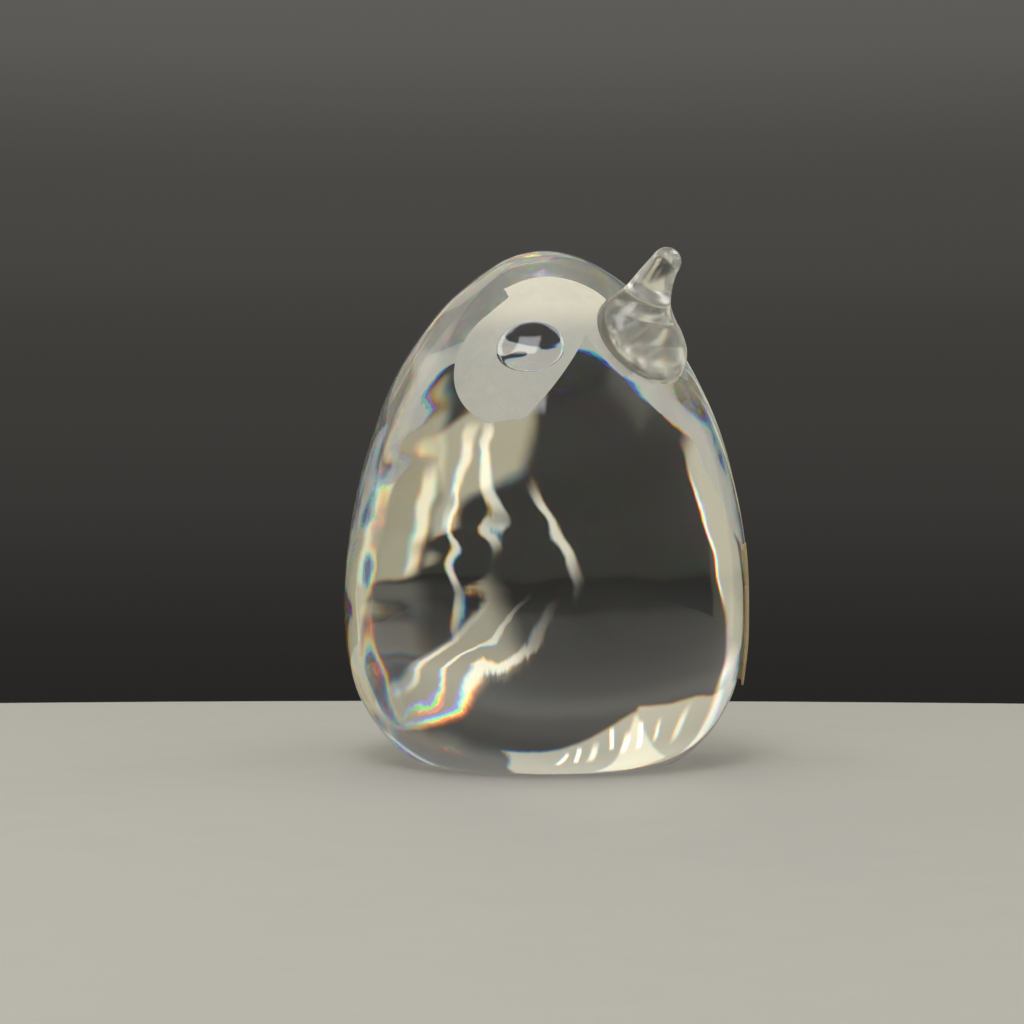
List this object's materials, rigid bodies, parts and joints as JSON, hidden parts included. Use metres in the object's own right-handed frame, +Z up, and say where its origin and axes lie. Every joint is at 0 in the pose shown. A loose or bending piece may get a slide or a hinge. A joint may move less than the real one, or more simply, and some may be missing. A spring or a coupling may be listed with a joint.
{
  "type": "penguin figurine",
  "caption": "Solid clear crystal penguin figurine: egg-shaped body on a flat foot, upswept applied beak, frosted face round dished polished eyes, blank paper sticker on the flank.",
  "frame": {"origin": "centre of the flat foot, on the surface that the figurine stands on", "axes": "+Z up along the egg's axis; the penguin looks along -Y, so its right side is -X"},
  "size_m": [0.0722, 0.0722, 0.0915],
  "materials": {
    "crystal": "clear, polished, hot-worked lead crystal",
    "frosted_crystal": "sand-blasted, matt and translucent",
    "paper_label": "aged uncoated paper, blank"
  },
  "bodies": {
    "root": {"body": "crystal", "beak": "crystal", "frost_right": "frosted_crystal", "frost_left": "frosted_crystal", "label": "paper_label"}
  },
  "joints": []
}
